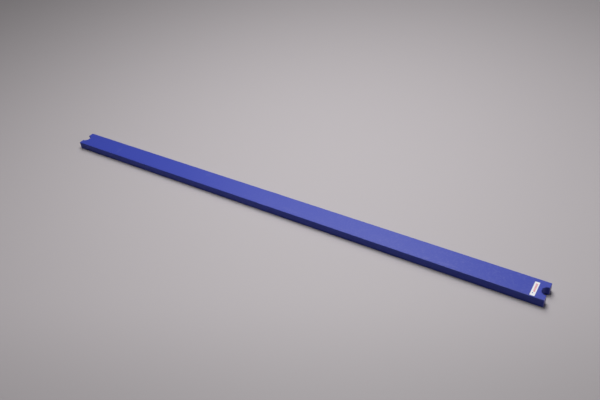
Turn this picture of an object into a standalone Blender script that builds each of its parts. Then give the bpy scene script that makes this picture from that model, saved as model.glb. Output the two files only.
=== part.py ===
"""Insert slat of a long jump take-off board: a painted wooden slat with a round-bottomed finger
notch in each end, and a small adhesive label across its top face near one end.

The slat lies along X, with the labelled end at +X. The origin is the middle of its underside.
"""
import math

import bmesh
import bpy

# Driving dimensions, in metres
SLAT_LENGTH = 1.220
SLAT_WIDTH = 0.047
SLAT_THICKNESS = 0.0185
NOTCH_RADIUS = 0.01
NOTCH_WALL = 0.0004
END_CORNER_RADIUS = 0.0015
NOTCH_MOUTH_RADIUS = 0.0012
ARRIS_RADIUS = 0.0008

LABEL_WIDTH = 0.009
LABEL_THICKNESS = 0.0002
LABEL_CORNER_RADIUS = 0.0008
LABEL_FRONT_MARGIN = 0.002
LABEL_BACK_MARGIN = 0.0088
LABEL_FROM_NOTCH = 0.0067
LABEL_TURN = math.radians(1.3)
LABEL_SEAT_GAP = 0.0003

# From the end face to the bottom of the notch: its rounded mouth, a short wall, a half circle
NOTCH_DEPTH = NOTCH_MOUTH_RADIUS + NOTCH_WALL + NOTCH_RADIUS

# How finely the round stretches are cut into straight ones
NOTCH_SIDES = 40
CORNER_SIDES = 6
ARRIS_SIDES = 3
ARRIS_LEAST_TURN = math.radians(40)


def clear_scene():
    for item in list(bpy.data.objects):
        bpy.data.objects.remove(item, do_unlink=True)


def make_material(name, colour, roughness):
    """A dielectric finish; the colour is linear RGB."""
    material = bpy.data.materials.new(name)
    material.use_nodes = True
    surface = material.node_tree.nodes["Principled BSDF"]
    surface.inputs["Base Color"].default_value = (*colour, 1.0)
    surface.inputs["Roughness"].default_value = roughness
    surface.inputs["Metallic"].default_value = 0.0
    material.diffuse_color = (*colour, 1.0)
    return material


def arc(centre, radius, start, end, sides):
    """Points round the centre from the start angle to the end angle, in radians, both included."""
    turns = [start + (end - start) * step / sides for step in range(sides + 1)]
    return [(centre[0] + radius * math.cos(turn), centre[1] + radius * math.sin(turn))
            for turn in turns]


def end_outline():
    """The +X end of the slat in plan, from its -Y corner to its +Y corner.

    The notch is a half circle set in from the end face, opened to it by two short straight walls.
    Each wall meets the end face in a rounded mouth.
    """
    end = SLAT_LENGTH / 2
    corner = (end - END_CORNER_RADIUS, SLAT_WIDTH / 2 - END_CORNER_RADIUS)
    mouth = (end - NOTCH_MOUTH_RADIUS, NOTCH_RADIUS + NOTCH_MOUTH_RADIUS)
    middle = (end - NOTCH_DEPTH + NOTCH_RADIUS, 0)

    notch_half = arc(middle, NOTCH_RADIUS, math.pi, math.pi / 2, NOTCH_SIDES // 2)
    mouth_round = arc(mouth, NOTCH_MOUTH_RADIUS, -math.pi / 2, 0, CORNER_SIDES)
    corner_round = arc(corner, END_CORNER_RADIUS, 0, math.pi / 2, CORNER_SIDES)
    back_half = notch_half + mouth_round + corner_round
    front_half = [(x, -y) for x, y in reversed(back_half[1:])]
    return front_half + back_half


def rounded_rectangle(length, width, radius):
    """A rectangle about the origin, its length along Y, anticlockwise."""
    x = width / 2 - radius
    y = length / 2 - radius
    corners = [(x, -y), (x, y), (-x, y), (-x, -y)]
    outline = []
    for number, centre in enumerate(corners):
        start = (number - 1) * math.pi / 2
        outline += arc(centre, radius, start, start + math.pi / 2, CORNER_SIDES)
    return outline


def plate(name, outline, thickness, material):
    """A flat plate of the given outline, standing on Z = 0."""
    shape = bmesh.new()
    corners = [shape.verts.new((x, y, 0)) for x, y in outline]
    face = shape.faces.new(corners)
    lifted = bmesh.ops.extrude_face_region(shape, geom=[face])["geom"]
    top = [item for item in lifted if isinstance(item, bmesh.types.BMVert)]
    bmesh.ops.translate(shape, verts=top, vec=(0, 0, thickness))
    bmesh.ops.recalc_face_normals(shape, faces=shape.faces)

    mesh = bpy.data.meshes.new(name)
    shape.to_mesh(mesh)
    shape.free()
    mesh.materials.append(material)
    piece = bpy.data.objects.new(name, mesh)
    bpy.context.scene.collection.objects.link(piece)
    return piece


def ease_arrises(piece, radius):
    """Rounds the edges between the flat faces and the outline's walls."""
    bevel = piece.modifiers.new("eased_arrises", "BEVEL")
    bevel.width = radius
    bevel.segments = ARRIS_SIDES
    bevel.limit_method = "ANGLE"
    bevel.angle_limit = ARRIS_LEAST_TURN
    piece.data.shade_smooth()
    piece.data.set_sharp_from_angle(angle=ARRIS_LEAST_TURN)


def make_insert_slat():
    """The wooden slat: one outline with a notch in each end, carried up by its thickness."""
    paint = make_material("ultramarine_paint_on_wood", (0.041, 0.056, 0.37), 0.55)
    near_end = end_outline()
    far_end = [(-x, -y) for x, y in near_end]
    slat = plate("insert_slat", near_end + far_end, SLAT_THICKNESS, paint)
    ease_arrises(slat, ARRIS_RADIUS)
    return slat


def make_vinyl_label():
    """The label lies across the slat between two margins, on its top face beside the notch."""
    film = make_material("white_vinyl", (0.83, 0.83, 0.85), 0.35)
    length = SLAT_WIDTH - LABEL_FRONT_MARGIN - LABEL_BACK_MARGIN
    outline = rounded_rectangle(length, LABEL_WIDTH, LABEL_CORNER_RADIUS)
    label = plate("vinyl_label", outline, LABEL_THICKNESS, film)
    label.location = (
        SLAT_LENGTH / 2 - NOTCH_DEPTH - LABEL_FROM_NOTCH - LABEL_WIDTH / 2,
        (LABEL_FRONT_MARGIN - LABEL_BACK_MARGIN) / 2,
        SLAT_THICKNESS + LABEL_SEAT_GAP,
    )
    label.rotation_euler.z = LABEL_TURN
    return label


def main():
    clear_scene()
    insert = bpy.data.objects.new("take_off_insert", None)
    bpy.context.scene.collection.objects.link(insert)
    for piece in (make_insert_slat(), make_vinyl_label()):
        piece.parent = insert


main()
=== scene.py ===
"""Insert slat of a long jump take-off board: its looks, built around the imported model.

Laid out as an add-on and run as a script. The slat lies along X with its labelled end at +X,
its front edge is at -Y, and its underside lies on Z = 0. Every size is in metres.
"""
import math

import bmesh
import bpy
from mathutils import Matrix, Vector


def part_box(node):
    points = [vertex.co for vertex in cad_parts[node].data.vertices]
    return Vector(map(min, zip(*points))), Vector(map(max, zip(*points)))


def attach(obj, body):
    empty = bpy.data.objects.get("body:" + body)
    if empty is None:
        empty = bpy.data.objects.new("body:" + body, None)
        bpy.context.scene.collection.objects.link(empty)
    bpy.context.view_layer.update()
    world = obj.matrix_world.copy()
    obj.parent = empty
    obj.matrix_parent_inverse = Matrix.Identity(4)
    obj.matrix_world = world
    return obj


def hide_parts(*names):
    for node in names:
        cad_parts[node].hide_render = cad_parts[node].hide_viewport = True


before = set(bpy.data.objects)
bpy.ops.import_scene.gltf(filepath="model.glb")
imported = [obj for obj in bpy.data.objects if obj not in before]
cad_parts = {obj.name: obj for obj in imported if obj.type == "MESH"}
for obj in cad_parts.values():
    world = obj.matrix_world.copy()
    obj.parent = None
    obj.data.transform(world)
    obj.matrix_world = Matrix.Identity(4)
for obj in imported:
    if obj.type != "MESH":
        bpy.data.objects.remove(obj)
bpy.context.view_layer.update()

bl_info = {
    "name": "Take-off board insert slat",
    "version": (1, 0, 0),
    "blender": (4, 5, 0),
    "location": "3D View > Sidebar > Insert slat",
    "description": "Makes the painted insert slat of a long jump take-off board, and its stage",
    "category": "Object",
}

MM = 0.001
SLAT_LOW, SLAT_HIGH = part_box("insert_slat")
LABEL_LOW, LABEL_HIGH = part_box("vinyl_label")
SLAT_SPAN = SLAT_HIGH - SLAT_LOW
LABEL_MIDDLE = (LABEL_LOW + LABEL_HIGH) / 2

UP = (0, 0, 1)

# Points nearer than this are one point, and an edge that turns by more than this is a rim
WELD = 0.001 * MM
RIM_TURN = math.radians(60)

# The slat is cut across at this spacing, so that its long faces aren't slivers
CUT_SPACING = 20 * MM
# The straight steps in half of a notch's round bottom, in a corner or a mouth, and in an arris
NOTCH_STEPS = 24
CORNER_STEPS = 6
ARRIS_STEPS = 4
# The cut edge of the label's film is rounded off this much
FILM_EDGE = 0.04 * MM
FILM_EDGE_STEPS = 2

# Wood: growth rings, and fibres, which are coarser than real ones so that they can show
RING_SPACING = 2.6 * MM
FIBRE_WIDTH = 0.7 * MM
# Paint: the pimples that a short-pile roller leaves, dust nibs, and fuller and thinner patches
STIPPLE_SPACING = 1.6 * MM
NIB_SPACING = 14 * MM
NIB_RADIUS = 0.25 * MM
PATCH_SIZE = 26 * MM
# The largest specks of paint that sand has scuffed dry
SPECK_SIZE = 5 * MM

# How much of the paint each of these covers where it is strongest
RING_COVER = 0.10
DUST_COVER = 0.022
SPECK_COVER = 0.085
RUB_COVER = 0.16

# The paint's roughness at its smoothest and roughest patches, and what sides and rubs add to it
SMOOTHEST = 0.338
ROUGHEST = 0.38
SIDE_ROUGHER = 0.29
RUB_ROUGHER = 0.05
# Its specular level, and how high its stipple stands
PAINT_SHEEN = 0.298
PAINT_RELIEF = 0.02 * MM

# Dull rubbed places on the top, in mm and degrees: where along and across the slat, how far they
# reach each way from there, how they are turned, and how strong they are
RUBS = (
    ((-477, -5), (4, 13), 6, 0.50),
    ((-189, 13), (9, 5), 20, 0.55),
    ((60, -12), (26, 5), -4, 0.35),
    ((290, -6), (34, 9), 3, 0.20),
    ((384, -17), (7, 4), 10, 0.75),
    ((425, -16), (19, 4), 4, 0.85),
)

# The label's print, from the label's middle: a row of strokes across, and a dot beyond its end
ROW_MIDDLE = (0.4 * MM, 3 * MM, 0)
ROW_LENGTH = 22 * MM
STROKE_SPACING = 2.2 * MM
STROKE_WIDTH = 1.3 * MM
STROKE_LENGTH = 3.6 * MM
DOT_MIDDLE = (-0.75 * MM, -11 * MM, 0)
DOT_RADIUS = 1.25 * MM
# A printed edge fades out over this much, and grime reaches this far in from the film's edge
INK_FADE = 0.08 * MM
GRIME_REACH = 0.5 * MM

# Painted shade on the floor, standing in for the falloff of the lamps' light: none at one point,
# and away from it deeper with the distance squared, by this share for each square metre, up to so
# many of them
PAINTED_SHADE_ORIGIN = (-0.66, -1.29, 0)
PAINTED_SHADE_PER_SQUARE = 0.0377
PAINTED_SHADE_SQUARES = 9
# The painted shade is also deeper along the front: which way that is, where it starts and where it
# is full
TO_FRONT = (0.488, -0.873, 0)
FRONT_START = 0.25
FRONT_FULL = 0.62
PAINTED_FRONT_SHADE = 0.1795
# The stretch of floor that the picture shows, as an ellipse: its middle and its half lengths
SHOWN_MIDDLE = (-0.47, 0.45, 0)
SHOWN_REACH = (1.43, 1.13, 1)
FLOOR_RADIUS = 12
FLOOR_SIDES = 96

# What the camera sees of the floor far off and of the room behind it, which lights nothing
FAR_TINT = (1, 0.95, 0.97)
FAR_GLOW = 0.26
# The little light that the room itself gives
ROOM_LIGHT = 0.0102

# The softboxes: name, place, the point that it faces, width, depth and radiance
SOFTBOXES = (
    ("overhead_softbox", (0.065, 0.338, 1.727), (0.065, 0.338, 0), 0.94, 1.05, 9.09),
    ("back_softbox", (-1.744, 2.717, 3.949), (0, 0, 0), 2.27, 2.27, 3.65),
    ("side_softbox", (2.4, 0.42, 0.75), (0, 0, 0), 0.7, 0.7, 3.26),
)

# The camera: focal length and sensor width in mm, place in metres, and turns in degrees
CAMERA_LENS = 39.191
CAMERA_SENSOR = 36
CAMERA_PLACE = (0.7665, -0.8651, 0.9006)
CAMERA_TURNS = (51.899, 6.171, 33.445)

# The colour outputs and inputs of a Mix node, which come after its number and vector ones
MIX_A, MIX_B, MIX_RESULT = 6, 7, 2


def linear(colour):
    """An sRGB hex colour as linear red, green and blue."""
    parts = [int(colour[place:place + 2], 16) / 255 for place in (1, 3, 5)]
    return tuple(
        part / 12.92 if part <= 0.04045 else ((part + 0.055) / 1.055) ** 2.4
        for part in parts
    )


def length(name, description, default):
    """A size that the sidebar shows."""
    return bpy.props.FloatProperty(
        name=name, description=description, default=default, min=0, precision=5, unit="LENGTH"
    )


def tint(name, description, default):
    """A colour that the sidebar shows, from its sRGB hex value."""
    return bpy.props.FloatVectorProperty(
        name=name, description=description, default=linear(default), size=3, min=0, max=1,
        subtype="COLOR",
    )


class InsertSlatSizes(bpy.types.PropertyGroup):
    """The sizes of the slat and of its label"""

    slat_length: length("Slat length", "The slat from end to end", SLAT_SPAN.x)
    slat_width: length("Slat width", "The slat from front to back", SLAT_SPAN.y)
    slat_thickness: length("Slat thickness", "The slat from underside to top", SLAT_SPAN.z)
    notch_radius: length("Notch radius", "The round bottom of the notch in each end", 10 * MM)
    notch_wall: length("Notch wall", "The straight of a notch between bottom and mouth", 0.4 * MM)
    mouth_radius: length("Mouth radius", "The rounding where a notch meets the end", 1.2 * MM)
    corner_radius: length("Corner radius", "The slat's four upright corners", 1.5 * MM)
    arris_radius: length("Arris radius", "The easing of the edges round top and bottom", 0.8 * MM)
    label_length: length("Label length", "The label, measured across the slat", 36.2 * MM)
    label_width: length("Label width", "The label, measured along the slat", 9 * MM)
    label_thickness: length("Label thickness", "The label's film", 0.15 * MM)
    label_corner: length("Label corner", "The radius of the label's corners", 0.8 * MM)
    label_turn: bpy.props.FloatProperty(
        name="Label turn", description="How far the label is stuck on out of square",
        default=math.radians(1.3), subtype="ANGLE",
    )


class InsertSlatColours(bpy.types.PropertyGroup):
    """The colours of the paint, of the label and of the floor"""

    paint: tint("Paint", "The ultramarine paint, well covered", "#3D4BB3")
    deep_paint: tint("Deep paint", "The paint along the growth rings", "#2F2F6E")
    # At the very ends this colour is laid on thick, as painted light on the end faces
    end_grain: tint("End grain", "The thin dry paint that end grain has drawn in", "#766EA8")
    dust: tint("Dust", "The fine sand that is rubbed into the paint", "#86826A")
    chalk: tint("Chalky paint", "The paint where it is rubbed dry", "#A9A8C4")
    film: tint("Label film", "The white vinyl", "#F2F2F5")
    red_ink: tint("Red ink", "The label's row of strokes", "#D9485E")
    blue_ink: tint("Blue ink", "The label's dot", "#8A93C4")
    floor: tint("Floor", "The pale paper that the slat lies on", "#C0BABD")


def node(tree, kind, inputs=None, **settings):
    """Adds a node to the tree. Each input gets a value, or a link where it is given an output."""
    made = tree.nodes.new(kind)
    for name, value in settings.items():
        setattr(made, name, value)
    for socket, value in (inputs or {}).items():
        if isinstance(value, bpy.types.NodeSocket):
            tree.links.new(value, made.inputs[socket])
        else:
            made.inputs[socket].default_value = value
    return made


def new_material(name):
    """A new material with nothing in its node tree yet, and that tree."""
    material = bpy.data.materials.new(name)
    material.use_nodes = True
    tree = material.node_tree
    tree.nodes.clear()
    return material, tree


def opaque(colour):
    """A colour with its alpha."""
    return (*colour, 1)


def rolled_paint_on_planed_wood(colours, sizes):
    """Ultramarine satin paint, rolled on planed softwood.

    The eye gets a deep even blue with a broad soft sheen. Close to, a roller's fine stipple lies
    over faint lines along the grain, dust nibs stand in it here and there, and sand has dusted
    it and rubbed it dry in specks, mostly in the labelled half. The sides are duller than the
    top. The end grain has drawn the paint in, so it is greyer there. The very ends are painted
    paler still, as painted light that stands in for the light the end faces catch from the side.
    """
    material, tree = new_material("rolled_paint_on_planed_wood")
    where = node(tree, "ShaderNodeTexCoord")
    place = where.outputs["Object"]

    # How far a face looks out of an end, out of any upright face, and out of the top
    facing = node(tree, "ShaderNodeSeparateXYZ", {
        "Vector": node(tree, "ShaderNodeVectorMath", {
            0: where.outputs["Normal"],
        }, operation="ABSOLUTE").outputs[0],
    })
    end_grain = node(tree, "ShaderNodeMapRange", {
        "Value": facing.outputs["X"], "From Min": 0.3, "From Max": 0.95,
    }, interpolation_type="SMOOTHSTEP")
    side = node(tree, "ShaderNodeMapRange", {
        "Value": facing.outputs["Z"], "From Min": 0.75, "From Max": 0.3,
    }, interpolation_type="SMOOTHSTEP")
    on_top = node(tree, "ShaderNodeMapRange", {
        "Value": node(tree, "ShaderNodeSeparateXYZ", {
            "Vector": where.outputs["Normal"],
        }).outputs["Z"],
        "From Min": 0.3, "From Max": 0.95,
    }, interpolation_type="SMOOTHSTEP")

    # Growth rings lie round a line in front of the slat and below it, and run out of the slat at a
    # slight angle, because a plank is never sawn quite along its tree
    trunk = node(tree, "ShaderNodeMapping", {
        "Vector": place, "Location": (0, 40 * MM, 30 * MM),
        "Rotation": (0, math.radians(9), math.radians(14)), "Scale": (0.04, 1, 1),
    })
    rings = node(tree, "ShaderNodeTexWave", {
        "Vector": trunk.outputs[0], "Scale": math.pi / 10 / RING_SPACING, "Distortion": 3.5,
        "Detail": 3, "Detail Scale": 0.3,
    }, wave_type="RINGS", rings_direction="X", wave_profile="SAW")
    # Fibres are a hundred times as long as they are wide
    fibres = node(tree, "ShaderNodeTexNoise", {
        "Vector": node(tree, "ShaderNodeMapping", {
            "Vector": place, "Scale": (0.01, 1, 1),
        }).outputs[0],
        "Scale": 1 / FIBRE_WIDTH, "Detail": 2, "Roughness": 0.6,
    })
    stipple = node(tree, "ShaderNodeTexNoise", {
        "Vector": place, "Scale": 1 / STIPPLE_SPACING, "Detail": 2, "Roughness": 0.45,
    })
    # A nib rises from its edge to its flat middle, a fifth as wide
    scattered = node(tree, "ShaderNodeTexVoronoi", {"Vector": place, "Scale": 1 / NIB_SPACING})
    nibs = node(tree, "ShaderNodeMapRange", {
        "Value": scattered.outputs["Distance"],
        "From Min": NIB_RADIUS / NIB_SPACING, "From Max": NIB_RADIUS / 5 / NIB_SPACING,
    }, interpolation_type="SMOOTHSTEP")
    # The patches are about twice as long the way that the roller went
    patches = node(tree, "ShaderNodeTexNoise", {
        "Vector": node(tree, "ShaderNodeMapping", {
            "Vector": place, "Scale": (0.45, 1, 1),
        }).outputs[0],
        "Scale": 1 / PATCH_SIZE, "Detail": 5, "Roughness": 0.62,
    })

    # A rub fades from a fifth of the way out to a little past its reach
    rubbed = None
    for middle, reach, turn, strength in RUBS:
        off = node(tree, "ShaderNodeMapping", {
            "Vector": place,
            "Location": (middle[0] * MM, middle[1] * MM, sizes.slat_thickness),
            "Rotation": (0, 0, math.radians(turn)),
            "Scale": (reach[0] * MM, reach[1] * MM, 2 * MM),
        }, vector_type="TEXTURE")
        away = node(tree, "ShaderNodeVectorMath", {0: off.outputs[0]}, operation="LENGTH")
        spot = node(tree, "ShaderNodeMapRange", {
            "Value": away.outputs["Value"], "From Min": 1.3, "From Max": 0.2,
            "To Min": 0, "To Max": strength,
        }, interpolation_type="SMOOTHSTEP").outputs[0]
        if rubbed is not None:
            spot = node(tree, "ShaderNodeMath", {
                0: rubbed, 1: spot,
            }, operation="MAXIMUM").outputs[0]
        rubbed = spot
    # A rub is broken up: it catches the high places of the stipple and the patches
    broken = node(tree, "ShaderNodeMapRange", {
        "Value": node(tree, "ShaderNodeMath", {
            0: patches.outputs["Fac"], 1: stipple.outputs["Fac"],
        }, operation="ADD").outputs[0],
        "From Min": 0.75, "From Max": 1.2,
    })
    rub = node(tree, "ShaderNodeMath", {0: rubbed, 1: broken.outputs[0]}, operation="MULTIPLY")

    # Feet rub sand into the top, more so in the labelled half. It dusts the paint evenly, and
    # scuffs it dry in marks too fine to show, which are drawn as coarser specks
    along = node(tree, "ShaderNodeMapRange", {
        "Value": node(tree, "ShaderNodeSeparateXYZ", {"Vector": place}).outputs["X"],
        "From Min": -350 * MM, "From Max": 600 * MM, "To Min": 0.15, "To Max": 1.25,
    }, interpolation_type="SMOOTHSTEP")
    handled = node(tree, "ShaderNodeMath", {
        0: along.outputs[0], 1: on_top.outputs[0],
    }, operation="MULTIPLY")
    thin_dust = node(tree, "ShaderNodeMath", {
        0: handled.outputs[0], 1: DUST_COVER,
    }, operation="MULTIPLY")
    specks = node(tree, "ShaderNodeMapRange", {
        "Value": node(tree, "ShaderNodeTexNoise", {
            "Vector": place, "Scale": 1 / SPECK_SIZE, "Detail": 4, "Roughness": 0.8,
        }).outputs["Fac"],
        "From Min": 0.5, "From Max": 0.7, "To Min": 0, "To Max": SPECK_COVER,
    })
    speckled = node(tree, "ShaderNodeMath", {
        0: handled.outputs[0], 1: specks.outputs[0],
    }, operation="MULTIPLY")
    chalked = node(tree, "ShaderNodeMath", {
        0: rub.outputs[0], 1: RUB_COVER, 2: speckled.outputs[0],
    }, operation="MULTIPLY_ADD")

    # Colour: the coat, a shade deeper along the rings, then dust, then the chalky rubs and
    # last the thin end grain
    ringed = node(tree, "ShaderNodeMix", {
        0: node(tree, "ShaderNodeMath", {
            0: rings.outputs["Fac"], 1: RING_COVER,
        }, operation="MULTIPLY").outputs[0],
        MIX_A: opaque(colours.paint), MIX_B: opaque(colours.deep_paint),
    }, data_type="RGBA")
    dusty = node(tree, "ShaderNodeMix", {
        0: thin_dust.outputs[0], MIX_A: ringed.outputs[MIX_RESULT], MIX_B: opaque(colours.dust),
    }, data_type="RGBA")
    coat = node(tree, "ShaderNodeMix", {
        0: chalked.outputs[0], MIX_A: dusty.outputs[MIX_RESULT], MIX_B: opaque(colours.chalk),
    }, data_type="RGBA")
    # The end grain is greyer in streaks. The very ends get much more of the pale colour, as
    # painted light that stands in for the light the end faces catch from the side
    streaks = node(tree, "ShaderNodeMath", {
        0: end_grain.outputs[0],
        1: node(tree, "ShaderNodeMapRange", {
            "Value": fibres.outputs["Fac"], "From Min": 0.3, "From Max": 0.7,
            "To Min": 0.7, "To Max": 1,
        }).outputs[0],
    }, operation="MULTIPLY")
    # Painted light on the end faces: strongest within the last two millimetres of each end
    from_middle = node(tree, "ShaderNodeVectorMath", {0: place}, operation="ABSOLUTE")
    paler_ends_painted_light = node(tree, "ShaderNodeMapRange", {
        "Value": node(tree, "ShaderNodeSeparateXYZ", {
            "Vector": from_middle.outputs[0],
        }).outputs["X"],
        "From Min": sizes.slat_length / 2 - 2 * MM, "From Max": sizes.slat_length / 2 - 0.4 * MM,
        "To Min": 0.12, "To Max": 0.75,
    }, interpolation_type="SMOOTHSTEP")
    end_grain_and_painted_light = node(tree, "ShaderNodeMath", {
        0: streaks.outputs[0], 1: paler_ends_painted_light.outputs[0],
    }, operation="MULTIPLY")
    colour = node(tree, "ShaderNodeMix", {
        0: end_grain_and_painted_light.outputs[0], MIX_A: coat.outputs[MIX_RESULT],
        MIX_B: opaque(colours.end_grain),
    }, data_type="RGBA")

    # Roughness: patchy all over, more on the sides, and a little more where it is rubbed
    patchy = node(tree, "ShaderNodeMapRange", {
        "Value": patches.outputs["Fac"], "From Min": 0.25, "From Max": 0.75,
        "To Min": SMOOTHEST, "To Max": ROUGHEST,
    })
    sawn_side = node(tree, "ShaderNodeMath", {
        0: side.outputs[0], 1: end_grain.outputs[0],
    }, operation="SUBTRACT", use_clamp=True)
    duller = node(tree, "ShaderNodeMath", {
        0: sawn_side.outputs[0], 1: SIDE_ROUGHER, 2: patchy.outputs[0],
    }, operation="MULTIPLY_ADD")
    roughness = node(tree, "ShaderNodeMath", {
        0: rub.outputs[0], 1: RUB_ROUGHER, 2: duller.outputs[0],
    }, operation="MULTIPLY_ADD")

    # Height, where the stipple's is 1: stipple, rings, fibres and nibs, one on the other
    height = stipple.outputs["Fac"]
    for pattern, rise in ((rings, 0.35), (fibres, 0.30), (nibs, 2.5)):
        height = node(tree, "ShaderNodeMath", {
            0: pattern.outputs[0 if pattern is nibs else "Fac"], 1: rise, 2: height,
        }, operation="MULTIPLY_ADD").outputs[0]
    raised = node(tree, "ShaderNodeBump", {
        "Height": height, "Strength": 1, "Distance": PAINT_RELIEF,
    })
    surface = node(tree, "ShaderNodeBsdfPrincipled", {
        "Base Color": colour.outputs[MIX_RESULT], "Roughness": roughness.outputs[0],
        "Specular IOR Level": PAINT_SHEEN, "Normal": raised.outputs[0],
    })
    node(tree, "ShaderNodeOutputMaterial", {"Surface": surface.outputs[0]})
    return material


def printed_vinyl(colours, sizes):
    """White gloss vinyl film, screen printed with a plain row of strokes and a dot.

    The eye gets a clean bright white with a smooth gloss, flat ink with crisp edges, and a
    little grime where the film's edge is sticky.
    """
    material, tree = new_material("printed_white_vinyl")
    place = node(tree, "ShaderNodeTexCoord").outputs["Object"]
    own = node(tree, "ShaderNodeMapping", {
        "Vector": place,
        "Location": (LABEL_MIDDLE.x, LABEL_MIDDLE.y, sizes.slat_thickness + sizes.label_thickness),
        "Rotation": (0, 0, sizes.label_turn),
    }, vector_type="TEXTURE").outputs[0]

    from_row = node(tree, "ShaderNodeVectorMath", {
        0: own, 1: ROW_MIDDLE,
    }, operation="SUBTRACT").outputs[0]
    along = node(tree, "ShaderNodeSeparateXYZ", {"Vector": from_row})
    off_row = node(tree, "ShaderNodeMath", {0: along.outputs["X"]}, operation="ABSOLUTE")
    down_row = node(tree, "ShaderNodeMath", {0: along.outputs["Y"]}, operation="ABSOLUTE")
    off_gap = node(tree, "ShaderNodeMath", {
        0: along.outputs["Y"], 1: STROKE_SPACING / 2,
    }, operation="PINGPONG")
    from_dot = node(tree, "ShaderNodeVectorMath", {
        0: own, 1: DOT_MIDDLE,
    }, operation="DISTANCE")
    # Half of the fade lies on each side of a printed edge. The ink lies nearer than the edge, but
    # a stroke lies further away than half of the gap between two strokes
    in_row, in_length, in_stroke, dot = [
        node(tree, "ShaderNodeMapRange", {
            "Value": distance, "From Min": edge + outward, "From Max": edge - outward,
        }).outputs[0]
        for distance, edge, outward in (
            (off_row.outputs[0], STROKE_LENGTH / 2, INK_FADE / 2),
            (down_row.outputs[0], ROW_LENGTH / 2, INK_FADE / 2),
            (off_gap.outputs[0], (STROKE_SPACING - STROKE_WIDTH) / 2, -INK_FADE / 2),
            (from_dot.outputs["Value"], DOT_RADIUS, INK_FADE / 2),
        )
    ]
    row = node(tree, "ShaderNodeMath", {0: in_row, 1: in_length}, operation="MULTIPLY")
    strokes = node(tree, "ShaderNodeMath", {
        0: row.outputs[0], 1: in_stroke,
    }, operation="MULTIPLY")

    sides = node(tree, "ShaderNodeSeparateXYZ", {
        "Vector": node(tree, "ShaderNodeVectorMath", {0: own}, operation="ABSOLUTE").outputs[0],
    })
    edge = node(tree, "ShaderNodeMath", {
        0: node(tree, "ShaderNodeMapRange", {
            "Value": sides.outputs["X"], "From Min": sizes.label_width / 2 - GRIME_REACH,
            "From Max": sizes.label_width / 2,
        }).outputs[0],
        1: node(tree, "ShaderNodeMapRange", {
            "Value": sides.outputs["Y"], "From Min": sizes.label_length / 2 - GRIME_REACH,
            "From Max": sizes.label_length / 2,
        }).outputs[0],
    }, operation="MAXIMUM")
    uneven = node(tree, "ShaderNodeMapRange", {
        "Value": node(tree, "ShaderNodeTexNoise", {
            "Vector": place, "Scale": 1 / (1.5 * MM), "Detail": 3,
        }).outputs["Fac"],
        "To Min": 0, "To Max": 0.5,
    })
    grime = node(tree, "ShaderNodeMath", {
        0: edge.outputs[0], 1: uneven.outputs[0],
    }, operation="MULTIPLY")

    red = node(tree, "ShaderNodeMix", {
        0: strokes.outputs[0], MIX_A: opaque(colours.film), MIX_B: opaque(colours.red_ink),
    }, data_type="RGBA")
    blue = node(tree, "ShaderNodeMix", {
        0: dot, MIX_A: red.outputs[MIX_RESULT], MIX_B: opaque(colours.blue_ink),
    }, data_type="RGBA")
    grubby = node(tree, "ShaderNodeMix", {
        0: grime.outputs[0], MIX_A: blue.outputs[MIX_RESULT], MIX_B: opaque(colours.dust),
    }, data_type="RGBA")
    # The film follows the stipple of the paint under it, smoothed and half as wide again
    below = node(tree, "ShaderNodeTexNoise", {
        "Vector": place, "Scale": 1 / (1.5 * STIPPLE_SPACING),
    })
    raised = node(tree, "ShaderNodeBump", {
        "Height": below.outputs["Fac"], "Strength": 1, "Distance": 0.008 * MM,
    })
    surface = node(tree, "ShaderNodeBsdfPrincipled", {
        "Base Color": grubby.outputs[MIX_RESULT], "Roughness": 0.35,
        "Normal": raised.outputs[0],
    })
    node(tree, "ShaderNodeOutputMaterial", {"Surface": surface.outputs[0]})
    return material


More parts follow.
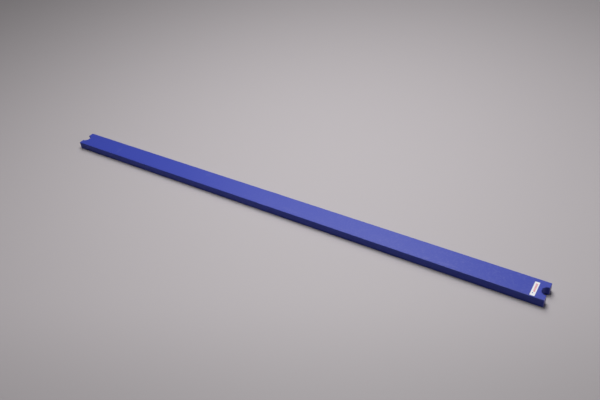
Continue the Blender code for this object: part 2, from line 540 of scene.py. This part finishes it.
def seamless_paper(colours):
    """Pale grey background paper, with painted shade that darkens it a little to the back and
    along the front.

    The eye gets a plain dull surface. Past the lamps' reach it glows a little, for the camera
    only, so that it doesn't run out into black.
    """
    material, tree = new_material("seamless_paper")
    place = node(tree, "ShaderNodeTexCoord").outputs["Object"]
    away = node(tree, "ShaderNodeVectorMath", {0: place, 1: PAINTED_SHADE_ORIGIN}, operation="DISTANCE")
    squared = node(tree, "ShaderNodeMath", {
        0: away.outputs["Value"], 1: 2,
    }, operation="POWER")
    shade = node(tree, "ShaderNodeMapRange", {
        "Value": squared.outputs[0], "From Min": 0, "From Max": PAINTED_SHADE_SQUARES,
        "To Min": 0, "To Max": PAINTED_SHADE_SQUARES * PAINTED_SHADE_PER_SQUARE,
    })
    to_front = node(tree, "ShaderNodeVectorMath", {
        0: place, 1: TO_FRONT,
    }, operation="DOT_PRODUCT")
    front_shade = node(tree, "ShaderNodeMapRange", {
        "Value": to_front.outputs["Value"], "From Min": FRONT_START, "From Max": FRONT_FULL,
        "To Min": 0, "To Max": PAINTED_FRONT_SHADE,
    }, interpolation_type="SMOOTHSTEP")
    all_painted_shade = node(tree, "ShaderNodeMath", {
        0: shade.outputs[0], 1: front_shade.outputs[0],
    }, operation="ADD")
    # The paper's colour, mixed towards black by the painted shade
    paper = node(tree, "ShaderNodeMix", {
        0: all_painted_shade.outputs[0], MIX_A: opaque(colours.floor), MIX_B: (0, 0, 0, 1),
    }, data_type="RGBA")

    # The glow starts just inside the edge of the stretch that the picture shows, and is full
    # twice as far out
    round_picture = node(tree, "ShaderNodeMapping", {
        "Vector": place, "Location": SHOWN_MIDDLE, "Scale": SHOWN_REACH,
    }, vector_type="TEXTURE")
    out = node(tree, "ShaderNodeVectorMath", {0: round_picture.outputs[0]}, operation="LENGTH")
    far = node(tree, "ShaderNodeMapRange", {
        "Value": out.outputs["Value"], "From Min": 0.93, "From Max": 2.0,
        "To Min": 0, "To Max": FAR_GLOW,
    }, interpolation_type="SMOOTHSTEP")
    glow = node(tree, "ShaderNodeMath", {
        0: node(tree, "ShaderNodeLightPath").outputs["Is Camera Ray"], 1: far.outputs[0],
    }, operation="MULTIPLY")
    surface = node(tree, "ShaderNodeBsdfPrincipled", {
        "Base Color": paper.outputs[MIX_RESULT], "Roughness": 0.622,
        "Emission Color": opaque(FAR_TINT), "Emission Strength": glow.outputs[0],
    })
    node(tree, "ShaderNodeOutputMaterial", {"Surface": surface.outputs[0]})
    return material


def draw_on(plan, tip, place):
    """Draws a wire on from its tip to a place, and gives its new tip."""
    tip = bmesh.ops.extrude_vert_indiv(plan, verts=[tip])["verts"][0]
    tip.co = place
    return tip


def swing_on(plan, tip, centre, turn, steps):
    """Draws a wire on from its tip round a centre, and gives its new tip."""
    swung = bmesh.ops.spin(plan, geom=[tip], cent=centre, axis=UP, angle=turn, steps=steps)
    return next(item for item in swung["geom_last"] if isinstance(item, bmesh.types.BMVert))


def slat_plan(sizes):
    """The slat's outline as one flat face.

    A quarter of it is drawn as a wire, from the bottom of the notch round its mouth and the
    corner to the middle of the back edge, and then mirrored to the front and to the far end.
    """
    end = sizes.slat_length / 2
    back = sizes.slat_width / 2
    mouth = (end - sizes.mouth_radius, sizes.notch_radius + sizes.mouth_radius, 0)
    corner = (end - sizes.corner_radius, back - sizes.corner_radius, 0)
    middle = (mouth[0] - sizes.notch_wall, 0, 0)

    plan = bmesh.new()
    tip = plan.verts.new((middle[0] - sizes.notch_radius, 0, 0))
    tip = swing_on(plan, tip, middle, -math.pi / 2, NOTCH_STEPS)
    tip = draw_on(plan, tip, (mouth[0], sizes.notch_radius, 0))
    tip = swing_on(plan, tip, mouth, math.pi / 2, CORNER_STEPS)
    tip = draw_on(plan, tip, (end, corner[1], 0))
    tip = swing_on(plan, tip, corner, math.pi / 2, CORNER_STEPS)
    draw_on(plan, tip, (0, back, 0))
    for axis in "YX":
        half = plan.verts[:] + plan.edges[:]
        bmesh.ops.mirror(plan, geom=half, axis=axis, merge_dist=WELD)
    bmesh.ops.contextual_create(plan, geom=plan.edges[:])
    return plan


def thicken(shape, thickness):
    """Carries a flat face at Z = 0 up into a solid."""
    lifted = bmesh.ops.extrude_face_region(shape, geom=shape.faces[:])["geom"]
    top = [item for item in lifted if isinstance(item, bmesh.types.BMVert)]
    bmesh.ops.translate(shape, verts=top, vec=(0, 0, thickness))
    bmesh.ops.recalc_face_normals(shape, faces=shape.faces[:])


def rims(shape, heights):
    """The edges that run round a solid at the given heights."""
    return [
        edge for edge in shape.edges
        if edge.calc_face_angle(0) > RIM_TURN
        and any(all(abs(end.co.z - height) < WELD for end in edge.verts) for height in heights)
    ]


def finish_piece(name, shape, material, replaced):
    """Makes the piece's object from its bmesh, hangs it from the root body, and hides the imported
    part that it replaces.
    """
    for face in shape.faces:
        face.smooth = True
    mesh = bpy.data.meshes.new(name)
    shape.to_mesh(mesh)
    shape.free()
    mesh.materials.append(material)
    piece = bpy.data.objects.new(name, mesh)
    bpy.context.scene.collection.objects.link(piece)
    # The flats stay flat right up to their eased edges
    piece.modifiers.new("flat_faces", "WEIGHTED_NORMAL")
    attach(piece, "root")
    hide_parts(replaced)


class INSERT_OT_make_slat(bpy.types.Operator):
    """Make the painted wooden slat with a round-bottomed finger notch in each end"""

    bl_idname = "insert_slat.make_slat"
    bl_label = "Make slat"

    def execute(self, context):
        sizes = context.scene.insert_slat_sizes
        shape = slat_plan(sizes)
        thicken(shape, sizes.slat_thickness)
        notch_depth = sizes.mouth_radius + sizes.notch_wall + sizes.notch_radius
        cuts = int((sizes.slat_length / 2 - notch_depth) / CUT_SPACING)
        for cut in range(-cuts, cuts + 1):
            bmesh.ops.bisect_plane(
                shape, geom=shape.verts[:] + shape.edges[:] + shape.faces[:],
                plane_co=(cut * CUT_SPACING, 0, 0), plane_no=(1, 0, 0),
            )
        bmesh.ops.bevel(
            shape, geom=rims(shape, (0, sizes.slat_thickness)), offset=sizes.arris_radius,
            affect="EDGES", segments=ARRIS_STEPS, profile=0.5, material=-1,
        )
        paint = rolled_paint_on_planed_wood(context.scene.insert_slat_colours, sizes)
        finish_piece("slat", shape, paint, "insert_slat")
        return {"FINISHED"}


class INSERT_OT_make_label(bpy.types.Operator):
    """Make the printed label that is stuck across the top near one end"""

    bl_idname = "insert_slat.make_label"
    bl_label = "Make label"

    def execute(self, context):
        sizes = context.scene.insert_slat_sizes
        shape = bmesh.new()
        bmesh.ops.create_grid(shape, x_segments=1, y_segments=1, size=0.5)
        bmesh.ops.scale(
            shape, verts=shape.verts[:], vec=(sizes.label_width, sizes.label_length, 1)
        )
        bmesh.ops.bevel(
            shape, geom=shape.verts[:], offset=sizes.label_corner,
            affect="VERTICES", segments=CORNER_STEPS, profile=0.5, material=-1,
        )
        thicken(shape, sizes.label_thickness)
        bmesh.ops.bevel(
            shape, geom=rims(shape, (sizes.label_thickness,)), offset=FILM_EDGE,
            affect="EDGES", segments=FILM_EDGE_STEPS, profile=0.5, material=-1,
        )
        turn = Matrix.Rotation(sizes.label_turn, 4, "Z")
        bmesh.ops.transform(shape, verts=shape.verts[:], matrix=turn)
        seat = Vector((LABEL_MIDDLE.x, LABEL_MIDDLE.y, sizes.slat_thickness))
        bmesh.ops.translate(shape, verts=shape.verts[:], vec=seat)
        film = printed_vinyl(context.scene.insert_slat_colours, sizes)
        finish_piece("label", shape, film, "vinyl_label")
        return {"FINISHED"}


def soft_lamp(name, place, aim, width, depth, radiance):
    """A rectangular softbox that faces a point."""
    lamp = bpy.data.lights.new(name, "AREA")
    lamp.shape = "RECTANGLE"
    lamp.size = width
    lamp.size_y = depth
    lamp.energy = radiance * math.pi * width * depth
    hung = bpy.data.objects.new(name, lamp)
    hung.location = place
    away = Vector(place) - Vector(aim)
    hung.rotation_euler = away.to_track_quat("Z", "Y").to_euler()
    bpy.context.scene.collection.objects.link(hung)


class INSERT_OT_set_stage(bpy.types.Operator):
    """Set up the floor, the soft light and the camera"""

    bl_idname = "insert_slat.set_stage"
    bl_label = "Set stage"

    def execute(self, context):
        scene = context.scene
        colours = scene.insert_slat_colours
        ground = bmesh.new()
        bmesh.ops.create_circle(
            ground, cap_ends=True, segments=FLOOR_SIDES, radius=FLOOR_RADIUS
        )
        mesh = bpy.data.meshes.new("floor")
        ground.to_mesh(mesh)
        ground.free()
        mesh.materials.append(seamless_paper(colours))
        floor = bpy.data.objects.new("floor", mesh)
        scene.collection.objects.link(floor)

        for softbox in SOFTBOXES:
            soft_lamp(*softbox)

        world = bpy.data.worlds.new("studio")
        world.use_nodes = True
        tree = world.node_tree
        tree.nodes.clear()
        room = node(tree, "ShaderNodeBackground", {
            "Color": (1, 1, 1, 1), "Strength": ROOM_LIGHT,
        })
        backdrop = node(tree, "ShaderNodeBackground", {
            "Color": opaque(FAR_TINT), "Strength": FAR_GLOW,
        })
        seen = node(tree, "ShaderNodeMixShader", {
            0: node(tree, "ShaderNodeLightPath").outputs["Is Camera Ray"],
            1: room.outputs[0], 2: backdrop.outputs[0],
        })
        node(tree, "ShaderNodeOutputWorld", {"Surface": seen.outputs[0]})
        scene.world = world

        lens = bpy.data.cameras.new("camera")
        lens.lens = CAMERA_LENS
        lens.sensor_width = CAMERA_SENSOR
        camera = bpy.data.objects.new("camera", lens)
        camera.location = CAMERA_PLACE
        camera.rotation_euler = [math.radians(turn) for turn in CAMERA_TURNS]
        scene.collection.objects.link(camera)
        scene.camera = camera
        scene.view_settings.view_transform = "Standard"
        return {"FINISHED"}


STEPS = (INSERT_OT_make_slat, INSERT_OT_make_label, INSERT_OT_set_stage)


class INSERT_PT_steps(bpy.types.Panel):
    """Lists the steps that make the slat, its label and the stage"""

    bl_idname = "INSERT_PT_steps"
    bl_label = "Insert slat"
    bl_space_type = "VIEW_3D"
    bl_region_type = "UI"
    bl_category = "Insert slat"

    def draw(self, context):
        for step in STEPS:
            self.layout.operator(step.bl_idname)
        for group in (context.scene.insert_slat_sizes, context.scene.insert_slat_colours):
            for name in group.__annotations__:
                self.layout.prop(group, name)


CLASSES = (InsertSlatSizes, InsertSlatColours, *STEPS, INSERT_PT_steps)


def register():
    for made in CLASSES:
        bpy.utils.register_class(made)
    bpy.types.Scene.insert_slat_sizes = bpy.props.PointerProperty(type=InsertSlatSizes)
    bpy.types.Scene.insert_slat_colours = bpy.props.PointerProperty(type=InsertSlatColours)


def unregister():
    del bpy.types.Scene.insert_slat_colours
    del bpy.types.Scene.insert_slat_sizes
    for made in reversed(CLASSES):
        bpy.utils.unregister_class(made)


def main():
    register()
    bpy.ops.insert_slat.make_slat()
    bpy.ops.insert_slat.make_label()
    bpy.ops.insert_slat.set_stage()


if __name__ == "__main__":
    main()
